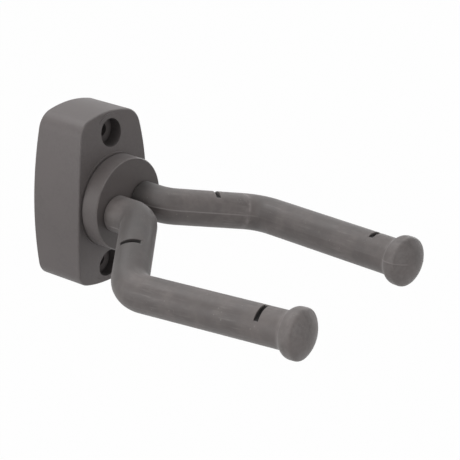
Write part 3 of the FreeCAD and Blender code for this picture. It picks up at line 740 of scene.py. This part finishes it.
class SleeveBender:
    """The geometry group that bends a straight moulding along an arm's centre line."""

    def __init__(self) -> None:
        """Builds the group."""
        numbers = ("Root Reach", "Splay Side", "Splay Reach", "Toe In", "Fork Reach", "First Bend",
                   "Second Bend", "Seam Height", "Seam Width", "Ripple", "Seed")
        graph, takes, gives = group_tree(
            "bend_along_arm", "GeometryNodeTree",
            {"Moulding": ("NodeSocketGeometry", None), **{name: (NUMBER, 0.0) for name in numbers},
             "Finish": ("NodeSocketMaterial", None)},
            {"Arm": "NodeSocketGeometry"})
        self.tree = graph.tree
        line = self.centre_line(graph, takes)
        bent = self.bent(graph, takes["Moulding"], line)
        skinned = self.skinned(graph, takes, bent)
        whole = graph.node("GeometryNodeRealizeInstances", {"Geometry": skinned}).outputs[0]
        finished = graph.node("GeometryNodeSetMaterial", {"Geometry": whole, "Material": takes["Finish"]})
        graph.plug(finished.outputs[0], gives["Arm"])

    @staticmethod
    def pick(graph: Graph, kind: str, values: list) -> bpy.types.NodeSocket:
        """A value for each point of a line, by its number.

        Args:
            graph: The tree.
            kind: The values' data type.
            values: One value or socket for each point.

        Returns:
            The picked value's socket.
        """
        switch = graph.node("GeometryNodeIndexSwitch", data_type=kind)
        while len(switch.index_switch_items) < len(values):
            switch.index_switch_items.new()
        graph.plug(graph.node("GeometryNodeInputIndex").outputs[0], switch.inputs[0])
        for number, value in enumerate(values, start=1):
            graph.plug(value, switch.inputs[number])
        return switch.outputs[0]

    def centre_line(self, graph: Graph, takes: dict) -> bpy.types.NodeSocket:
        """The arm's centre line: four points with the middle two rounded.

        Args:
            graph: The tree.
            takes: The group's inputs.

        Returns:
            The line's socket.
        """
        splay_end = graph.maths("ADD", takes["Root Reach"], takes["Splay Reach"])
        fork_end = graph.maths("ADD", splay_end, takes["Fork Reach"])
        tip_side = graph.maths("SUBTRACT", takes["Splay Side"], takes["Toe In"])
        corners = [(0.0, 0.0), (0.0, takes["Root Reach"]), (takes["Splay Side"], splay_end),
                   (tip_side, fork_end)]
        places = []
        for across, outwards in corners:
            forward = graph.maths("MULTIPLY", outwards, -1.0)
            places.append(graph.node("ShaderNodeCombineXYZ", {0: across, 1: forward}).outputs[0])
        straight = graph.node("GeometryNodeCurvePrimitiveLine").outputs[0]
        four = graph.node("GeometryNodeResampleCurve", {"Curve": straight, "Count": len(corners)})
        placed = graph.node("GeometryNodeSetPosition",
                            {"Geometry": four.outputs[0], "Position": self.pick(graph, "VECTOR", places)})
        radius = self.pick(graph, "FLOAT", [0.0, takes["First Bend"], takes["Second Bend"], 0.0])
        rounded = graph.node("GeometryNodeFilletCurve",
                             {"Curve": placed.outputs[0], "Count": 48, "Radius": radius}, mode="POLY")
        return rounded.outputs[0]

    @staticmethod
    def bent(
            graph: Graph, moulding: bpy.types.NodeSocket, line: bpy.types.NodeSocket) -> bpy.types.NodeSocket:
        """Carries each point of the straight moulding to its place round the centre line.

        Args:
            graph: The tree.
            moulding: The straight moulding, which runs along +X.
            line: The centre line, level in its own plane.

        Returns:
            The bent moulding's socket.
        """
        parts = graph.node("ShaderNodeSeparateXYZ", {0: graph.node("GeometryNodeInputPosition").outputs[0]})
        station = {"Curves": line, "Length": parts.outputs["X"]}
        sample = graph.node("GeometryNodeSampleCurve", station, mode="LENGTH")
        up = (0.0, 0.0, 1.0)
        outwards = graph.vectors("CROSS_PRODUCT", up, sample.outputs["Tangent"]).outputs["Vector"]
        outwards = graph.node("ShaderNodeVectorMath", {0: outwards}, operation="NORMALIZE").outputs["Vector"]
        across = graph.scaled(outwards, parts.outputs["Y"])
        lift = graph.scaled(up, parts.outputs["Z"])
        offset = graph.vectors("ADD", across, lift).outputs["Vector"]
        place = graph.vectors("ADD", sample.outputs["Position"], offset).outputs["Vector"]
        return graph.node("GeometryNodeSetPosition", {"Geometry": moulding, "Position": place}).outputs[0]

    @staticmethod
    def skinned(graph: Graph, takes: dict, bent: bpy.types.NodeSocket) -> bpy.types.NodeSocket:
        """Raises the mould's parting seam and gives the outer skin its slight unevenness.

        Args:
            graph: The tree.
            takes: The group's inputs.
            bent: The bent moulding.

        Returns:
            The finished skin's socket.
        """
        place = graph.node("GeometryNodeInputPosition").outputs[0]
        normal = graph.node("GeometryNodeInputNormal").outputs[0]
        height = graph.maths("ABSOLUTE", graph.node("ShaderNodeSeparateXYZ", {0: place}).outputs["Z"])
        near = graph.maths("SUBTRACT", 1.0, graph.smooth_step(height, 0.0, takes["Seam Width"]))
        line = graph.maths("MULTIPLY", near, graph.named("parting"))
        # The seam's mask, which the finish also paints paler as a painted highlight.
        marking = {"Geometry": bent, "Name": "seam", "Value": line}
        marked = graph.node("GeometryNodeStoreNamedAttribute", marking, data_type="FLOAT", domain="POINT")
        seam = graph.maths("MULTIPLY", line, takes["Seam Height"])
        wave = graph.maths("SUBTRACT", graph.noise(place, 160.0, 1.0, takes["Seed"]), 0.5)
        ripple = graph.maths("MULTIPLY", wave, graph.maths("MULTIPLY", takes["Ripple"], 2.0))
        rise = graph.maths("MULTIPLY", graph.maths("ADD", seam, ripple), graph.named("skin"))
        moving = {"Geometry": marked.outputs[0], "Offset": graph.scaled(normal, rise)}
        return graph.node("GeometryNodeSetPosition", moving).outputs[0]


@dataclass
class RubberArm:
    """One arm's rubber sleeve with its bulb, slots, seam and bore.

    Sizes are those of the frame. Scuff with its painted highlight, painted shade and seam are strengths from
    0 to 1, or where they stand.
    """

    side: Side
    root_side: float = 7.7 * MM
    root_drop: float = 0.6 * MM
    droop: float = math.radians(17.0)
    yoke_turn: float = math.radians(7.0)
    root_reach: float = 12.1 * MM
    splay_side: float = 32.3 * MM
    splay_reach: float = 20.6 * MM
    toe_in: float = 7.2 * MM
    fork_reach: float = 75.75 * MM
    first_bend: float = 7.5 * MM
    second_bend: float = 11.5 * MM
    sleeve_radius: float = 7.0 * MM
    bore_radius: float = 4.0 * MM
    bore_end: float = 4.0 * MM
    bulb_radius: float = 9.35 * MM
    bulb_front: float = 4.3 * MM
    bulb_land: float = 1.5 * MM
    bulb_shoulder: float = 1.7 * MM
    bulb_back: float = 4.2 * MM
    bulb_flare: float = 2.7 * MM
    slot_width: float = 1.8 * MM
    slot_floor: float = 5.45 * MM
    slot_edge: float = 0.12 * MM
    splay_slot: float = 19.2 * MM
    fork_slot: float = 18.75 * MM
    root_edge: float = 0.60 * MM
    bend_scuff: float = 0.2
    bend_scuff_width: float = 1.5 * MM
    # A painted highlight round the bulb's neck, stronger on top.
    neck_highlight: float = 0.5
    neck_highlight_width: float = 1.3 * MM
    neck: float = 3.4 * MM
    bulb_scuff: float = 0.35
    # Painted shadow against the disc: its strength and how far along it reaches.
    root_shadow: float = 0.2
    root_shadow_reach: float = 5.0 * MM
    # Painted shade on top of the splayed run and of the forward run.
    splay_top_shade: float = 0.0
    fork_top_shade: float = 0.0
    fork_seam: float = 0.15
    bulb_seam: float = 0.9
    seam_height: float = 0.10 * MM
    seam_width: float = 0.40 * MM
    ripple: float = 0.03 * MM
    seed: float = 5.0
    columns: int = 96

    @property
    def name(self) -> str:
        """The frame's node that the sleeve stands for."""
        return "rubber_arm_" + self.side.name.lower()

    @property
    def inset(self) -> float:
        """How far the skin lies inside the frame's node, to leave room for its ripple."""
        return self.ripple

    def runs(self) -> tuple[float, float, float, float, float]:
        """Where the bends begin and end along the centre line, and where the tip is.

        Returns:
            Start and end of the first bend, start and end of the second, and the whole length.
        """
        splay_angle = math.atan2(self.splay_side, self.splay_reach)
        second_angle = splay_angle + math.atan2(self.toe_in, self.fork_reach)
        first_leg = self.first_bend * math.tan(splay_angle / 2)
        second_leg = self.second_bend * math.tan(second_angle / 2)
        first_start = self.root_reach - first_leg
        first_end = first_start + self.first_bend * splay_angle
        second_start = first_end + math.hypot(self.splay_side, self.splay_reach) - first_leg - second_leg
        second_end = second_start + self.second_bend * second_angle
        tip = second_end + math.hypot(self.toe_in, self.fork_reach) - second_leg
        return first_start, first_end, second_start, second_end, tip

    def slots(self) -> tuple[float, float]:
        """Where the slots are.

        Returns:
            The middle of each slot along the centre line.
        """
        first_start, first_end, _, _, tip = self.runs()
        first_leg = self.root_reach - first_start
        return first_end + self.splay_slot - first_leg, tip - self.fork_slot

    def stations(self, start: float, end: float) -> list[float]:
        """Places of the rings along the sleeve, closer together through the bends.

        Args:
            start: The first place.
            end: The last place.

        Returns:
            The places in order.
        """
        first_start, first_end, second_start, second_end, _ = self.runs()
        places = [start]
        while places[-1] < end:
            here = places[-1]
            if first_start - MM < here < first_end + MM:
                step = 0.3 * MM
            elif second_start - MM < here < second_end + MM:
                step = 0.5 * MM
            else:
                step = 0.8 * MM
            places.append(here + step)
        places[-1] = end
        return places

    def bulb_outline(self) -> list[Ring]:
        """The bulb's outline from the sleeve to the tip.

        Returns:
            Points as distance along the centre line and radius.
        """
        tip = self.runs()[4] - self.inset
        wide = self.bulb_radius - self.inset
        front = self.bulb_front - self.inset
        shoulder = self.bulb_shoulder - self.inset
        back = self.bulb_back - self.inset
        flare = self.bulb_flare + self.inset
        sleeve = self.sleeve_radius - self.inset
        crown = (wide ** 2 + front ** 2 - 2 * wide * shoulder) / (2 * (front - shoulder))
        crown_turn = math.atan2(wide - shoulder, crown - front)
        flare_rise = math.sqrt((back + flare) ** 2 - (sleeve + flare - wide + back) ** 2)
        flare_turn = math.asin(flare_rise / (back + flare))
        step = 0.35 * MM
        quarter = math.pi / 2
        land = tip - front - self.bulb_land
        neck = arc_points((land - flare_rise, sleeve + flare), flare, -quarter, -quarter + flare_turn, step)
        rear = arc_points((land, wide - back), back, quarter + flare_turn, quarter, step)
        rim = arc_points((tip - front, wide - shoulder), shoulder, quarter, crown_turn, step)
        cap = arc_points((tip - crown, 0.0), crown, crown_turn, 0.0, step)
        return neck + rear[1:] + rim + cap[1:]

    def outline(self) -> list[tuple[float, float, float, float]]:
        """The whole half section: up the bore's end, back along the bore, then out over the skin.

        Returns:
            Rings as distance along, radius, how far a slot is cut there from 0 to 1, and 1 on the skin.
        """
        bulb = self.bulb_outline()
        radius = self.sleeve_radius - self.inset
        bore_end = self.runs()[4] - self.bore_end
        rings = [(bore_end, 0.0, 0.0, 0.0)]
        rings += [(place, self.bore_radius, 0.0, 0.0) for place in reversed(self.stations(0.0, bore_end))]
        rings.append((0.0, radius - self.root_edge, 0.0, 0.0))
        half = self.slot_width / 2
        marks = []
        for middle in self.slots():
            marks += [(middle - half - self.slot_edge, 0.0), (middle - half, 0.02), (middle - half, 1.0),
                      (middle + half, 1.0), (middle + half, 0.02), (middle + half + self.slot_edge, 0.0)]
        guard = half + self.slot_edge + 0.25 * MM
        skin = [(place, 0.0) for place in self.stations(self.root_edge, bulb[0][0] - 0.3 * MM)
                if all(abs(place - middle) > guard for middle in self.slots())]
        rings += [(place, radius, cut, 1.0) for place, cut in sorted(skin + marks, key=lambda mark: mark[0])]
        rings += [(*ring, 0.0, 1.0) for ring in bulb[:-1]]
        rings.append((bulb[-1][0], 0.0, 0.0, 1.0))
        return rings

    def angles(self) -> list[float]:
        """The columns' angles round the sleeve, with more of them beside the parting seam.

        Returns:
            The angles in order.
        """
        even = [math.tau * index / self.columns for index in range(self.columns)]
        beside = [turn + math.radians(offset)
                  for turn in (0.0, math.pi) for offset in (-2.4, -1.6, -0.8, 0.8, 1.6, 2.4)]
        return sorted(angle % math.tau for angle in even + beside)

    def ring_radius(self, radius: float, cut: float, angle: float) -> float:
        """The radius at one angle, less where a slot is cut across the top.

        Args:
            radius: The uncut radius.
            cut: 0 for no slot, 1 for the slot's floor, and a little over 0 for its broken edge.
            angle: The angle round the sleeve.

        Returns:
            The radius there.
        """
        rise = radius * math.sin(angle)
        if cut == 0.0 or rise <= self.slot_floor:
            return radius
        if cut < 1.0:
            return radius - min(self.slot_edge, rise - self.slot_floor)
        return self.slot_floor / math.sin(angle)

    def scuff_and_highlight(self, place: float, angle: float) -> float:
        """How rubbed the skin is at a point, by the second bend and on the bulb, with a painted highlight
        round the bulb's neck that is stronger on top.

        Args:
            place: Distance along the centre line.
            angle: The angle round the sleeve.

        Returns:
            The rubbing and painted highlight, from 0 to 1.
        """
        _, _, second_start, _, tip = self.runs()
        bulb_back = tip - self.bulb_front - self.bulb_land
        topside = 0.5 + 0.5 * math.sin(angle)
        at_bend = math.exp(-((place - second_start) / self.bend_scuff_width) ** 2)
        at_neck = topside * math.exp(-((place - bulb_back + self.neck) / self.neck_highlight_width) ** 2)
        on_bulb = ramp(place, bulb_back - 3 * MM, bulb_back)
        return max(self.bend_scuff * at_bend, self.neck_highlight * at_neck, self.bulb_scuff * on_bulb)

    def painted_shade(self, place: float, angle: float) -> float:
        """How much painted shade darkens a point: a painted shadow against the disc, and painted shade on top
        of the two runs.

        Args:
            place: Distance along the centre line.
            angle: The angle round the sleeve.

        Returns:
            The painted shade, from 0 to 1.
        """
        _, _, second_start, second_end, _ = self.runs()
        past_bend = ramp(place, second_start, second_end)
        on_splay = self.splay_top_shade * ramp(place, 4 * MM, 10 * MM) * (1.0 - past_bend)
        topside = 0.5 + 0.5 * math.sin(angle)
        at_root = self.root_shadow * math.exp(-((place / self.root_shadow_reach) ** 2))
        return max(at_root, topside * (on_splay + self.fork_top_shade * past_bend))

    def parting(self, place: float, radius: float) -> float:
        """How strongly the mould's parting line shows at a ring, from 0 to 1.

        It is plain on the splayed run, faint on the forward run, and gone at the root and the very tip.

        Args:
            place: Distance along the centre line.
            radius: The ring's radius.

        Returns:
            The line's strength.
        """
        _, _, second_start, second_end, tip = self.runs()
        shown = ramp(place, 2 * MM, 5 * MM) * ramp(radius, 2.6 * MM, 4.6 * MM)
        past_bend = ramp(place, second_start - 3 * MM, second_end - 3 * MM)
        on_bulb = ramp(place, tip - 11 * MM, tip - 8 * MM)
        return shown * max(1.0 - (1.0 - self.fork_seam) * past_bend, self.bulb_seam * on_bulb)

    def straight_moulding(self) -> bpy.types.Object:
        """The sleeve as it would be if its rod were straight, along +X.

        Returns:
            The object, with what the finish needs to know written on its points.
        """
        shape = bmesh.new()
        names = ("skin", "groove", "scuff_and_highlight", "parting", "band", "painted_shade")
        layers = {name: shape.verts.layers.float.new(name) for name in names}
        unbent = shape.verts.layers.float_vector.new("unbent")
        angles = self.angles()
        last_slot = self.slots()[1]
        loops = []
        for place, radius, cut, skin in self.outline():
            loop = []
            for angle in (angles if radius > 0 else angles[:1]):
                reach = self.ring_radius(radius, cut, angle)
                vertex = shape.verts.new((place, reach * math.cos(angle), reach * math.sin(angle)))
                vertex[unbent] = vertex.co
                marks = {"skin": skin, "groove": float(reach < radius - 2 * self.slot_edge),
                         "scuff_and_highlight": self.scuff_and_highlight(place, angle) * skin, "parting": self.parting(place, radius),
                         "band": float(place > last_slot), "painted_shade": self.painted_shade(place, angle)}
                for name, mark in marks.items():
                    vertex[layers[name]] = mark
                loop.append(vertex)
            loops.append(loop)
        for first, second in zip(loops, loops[1:]):
            for index in range(len(angles)):
                after = (index + 1) % len(angles)
                corners = [first[index % len(first)], first[after % len(first)],
                           second[after % len(second)], second[index % len(second)]]
                shape.faces.new(dict.fromkeys(corners))
        bmesh.ops.remove_doubles(shape, verts=shape.verts, dist=WELD)
        bmesh.ops.recalc_face_normals(shape, faces=shape.faces)
        mesh = bpy.data.meshes.new(self.name + "_straight")
        shape.to_mesh(mesh)
        shape.free()
        mesh.shade_smooth()
        mesh.set_sharp_from_angle(angle=SHARP)
        return scene_object(mesh.name, mesh)

    def place(self) -> Matrix:
        """Where the arm's own plane stands: on the disc's face, drooping, and turned with the yoke.

        Returns:
            The matrix that takes the arm there.
        """
        sign = self.side.value
        disc_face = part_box("hub_disc")[0].y
        across = sign * self.root_side * math.cos(self.yoke_turn) + self.root_drop * math.sin(self.yoke_turn)
        height = sign * self.root_side * math.sin(self.yoke_turn) - self.root_drop * math.cos(self.yoke_turn)
        turn = Matrix.Rotation(self.droop - sign * self.yoke_turn, 4, Vector((0.0, sign, 0.0)))
        return Matrix.Translation((across, disc_face, height)) @ turn

    def build(self, bender: SleeveBender, material: bpy.types.Material) -> bpy.types.Object:
        """Bends the moulding, puts it in place and fits it to the yoke.

        Args:
            bender: The geometry group.
            material: The rubber.

        Returns:
            The finished piece.
        """
        straight = self.straight_moulding()
        geometry_modifier(straight, bender.tree, {
            "Root Reach": self.root_reach, "Splay Side": self.side.value * self.splay_side,
            "Splay Reach": self.splay_reach, "Toe In": self.side.value * self.toe_in,
            "Fork Reach": self.fork_reach, "First Bend": self.first_bend, "Second Bend": self.second_bend,
            "Seam Height": self.seam_height, "Seam Width": self.seam_width, "Ripple": self.ripple,
            "Seed": self.seed + self.side.value, "Finish": material})
        piece = plain_mesh(straight, "sleeve_" + self.side.name.lower())
        piece.data.transform(self.place())
        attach(piece, Body.YOKE.value)
        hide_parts(self.name)
        return piece


# ---------------------------------------------------------------- studio


@dataclass(frozen=True)
class Lamp:
    """A square soft lamp that points at the hanger. Its power is in watts."""

    name: str
    spot: tuple[float, float, float]
    size: float
    power: float

    def build(self) -> None:
        """Makes the lamp."""
        data = bpy.data.lights.new(self.name, "AREA")
        data.shape = "SQUARE"
        data.size = self.size
        data.energy = self.power
        spot = Vector(self.spot)
        turn = (LAMPS_AIM - spot).to_track_quat("-Z", "Y").to_matrix().to_4x4()
        scene_object(self.name, data).matrix_world = Matrix.Translation(spot) @ turn


WHITE = rgba((1.0, 1.0, 1.0))
LAMPS_AIM = Vector((0.0, -0.06, 0.0))
LAMPS = (
    Lamp("above_left", (-0.6, -0.1, 1.0), 0.7, 2.0),
    Lamp("above_right", (0.55, 0.1, 1.1), 0.7, 2.6),
    Lamp("above_wall", (0.0, 0.7, 1.0), 0.7, 4.6),
    Lamp("left", (-1.2, -0.1, 0.3), 0.8, 3.1),
    Lamp("left_wall", (-1.0, 0.6, 0.2), 0.7, 3.6),
    Lamp("right", (1.2, 0.1, 0.2), 0.7, 3.4),
    Lamp("front", (-0.1, -1.3, 0.2), 0.9, 3.9),
)


@dataclass
class Studio:
    """White floor and background, soft lights, and the camera."""

    azimuth: float = math.radians(-52.71)
    elevation: float = math.radians(20.68)
    roll: float = math.radians(2.38)
    across: float = -62.67 * MM
    upwards: float = 17.38 * MM
    away: float = 673.96 * MM
    lens: float = 135.28
    sensor: float = 36.0
    floor_drop: float = 0.16
    floor_size: float = 4.0
    floor_glow: float = 0.985
    sky: float = 0.14

    def camera(self) -> None:
        """Makes the camera that the scene uses."""
        right = Vector((math.cos(self.azimuth), math.sin(self.azimuth), 0.0))
        back = Vector((math.sin(self.azimuth) * math.cos(self.elevation),
                       -math.cos(self.azimuth) * math.cos(self.elevation), math.sin(self.elevation)))
        up = back.cross(right)
        rolled_right = right * math.cos(self.roll) + up * math.sin(self.roll)
        rolled_up = up * math.cos(self.roll) - right * math.sin(self.roll)
        data = bpy.data.cameras.new("camera")
        data.lens = self.lens
        data.sensor_width = self.sensor
        made = scene_object("camera", data)
        spot = back * self.away - rolled_right * self.across - rolled_up * self.upwards
        turn = Matrix((rolled_right, rolled_up, back)).transposed().to_4x4()
        made.matrix_world = Matrix.Translation(spot) @ turn
        bpy.context.scene.camera = made

    @staticmethod
    def seen(graph: Graph) -> bpy.types.NodeSocket:
        """Whether a ray comes from the camera, straight or by way of a gloss or a clear piece.

        Args:
            graph: The tree.

        Returns:
            The socket of a 1 for such a ray and a 0 for any other.
        """
        path = graph.node("ShaderNodeLightPath").outputs
        gloss = graph.maths("MAXIMUM", path["Is Glossy Ray"], path["Is Transmission Ray"])
        return graph.maths("MAXIMUM", path["Is Camera Ray"], gloss)

    @staticmethod
    def finish(graph: Graph, output: str, share: object, lit: bpy.types.Node, white: bpy.types.Node) -> None:
        """Mixes what is lit with plain white and gives it to the tree's output.

        Args:
            graph: The tree.
            output: The output node's type.
            share: How much of the white there is, from 0 to 1.
            lit: The node of the lit shader.
            white: The node of the white shader.
        """
        both = graph.node("ShaderNodeMixShader", {0: share, 1: lit.outputs[0], 2: white.outputs[0]})
        graph.node(output, {"Surface": both.outputs[0]})

    def floor(self) -> None:
        """Makes the floor, white with a faint shadow."""
        shape = bmesh.new()
        bmesh.ops.create_grid(shape, x_segments=8, y_segments=8, size=self.floor_size / 2)
        mesh = bpy.data.meshes.new("floor")
        shape.to_mesh(mesh)
        shape.free()
        mesh.transform(Matrix.Translation((0.0, 0.0, -self.floor_drop)))
        material = bpy.data.materials.new("white_floor")
        material.use_nodes = True
        graph = Graph(material.node_tree)
        graph.tree.nodes.clear()
        place = graph.node("ShaderNodeTexCoord").outputs["Object"]
        tones = (rgba((0.44, 0.44, 0.44)), rgba((0.47, 0.47, 0.47)))
        tone = graph.blend(graph.noise(place, 6.0, 2.0, 8.0), *tones)
        matt = graph.node("ShaderNodeBsdfDiffuse", {"Color": tone})
        white = graph.node("ShaderNodeEmission", {"Color": WHITE, "Strength": 1.0})
        share = graph.maths("MULTIPLY", self.seen(graph), self.floor_glow)
        self.finish(graph, "ShaderNodeOutputMaterial", share, matt, white)
        mesh.materials.append(material)
        made = scene_object("floor", mesh)

    def world(self) -> None:
        """Lights the room evenly and shows it white."""
        world = bpy.data.worlds.new("room")
        bpy.context.scene.world = world
        world.use_nodes = True
        graph = Graph(world.node_tree)
        graph.tree.nodes.clear()
        soft = graph.node("ShaderNodeBackground", {"Color": WHITE, "Strength": self.sky})
        white = graph.node("ShaderNodeBackground", {"Color": WHITE, "Strength": 1.0})
        self.finish(graph, "ShaderNodeOutputWorld", self.seen(graph), soft, white)

    def build(self) -> None:
        """Makes the camera, the floor, the room and the lamps."""
        self.camera()
        self.floor()
        self.world()
        for lamp in LAMPS:
            lamp.build()
        bpy.context.scene.view_settings.view_transform = "Standard"


def main() -> None:
    """Builds every piece in order and reports it."""
    logging.basicConfig(level=logging.INFO, format="%(message)s")
    Studio().build()
    finishes = Finishes()
    for node, finish in finishes.dress_frame().items():
        LOG.info("%s is finished as %s", node, finish)
    bender = SleeveBender()
    # Painted shadow at the right root; painted shade on top of the left splayed run and the right forward
    # run.
    arms = (RubberArm(Side.LEFT, bend_scuff=0.15, root_shadow=0.0, splay_top_shade=0.45, bulb_seam=0.3),
            RubberArm(Side.RIGHT, bend_scuff=1.0, root_shadow=0.75, root_shadow_reach=9 * MM, fork_top_shade=0.18))
    for arm in arms:
        piece = arm.build(bender, finishes.materials[Slot.RUBBER])
        LOG.info("%s has %d faces", piece.name, len(piece.data.polygons))


if __name__ == "__main__":
    main()
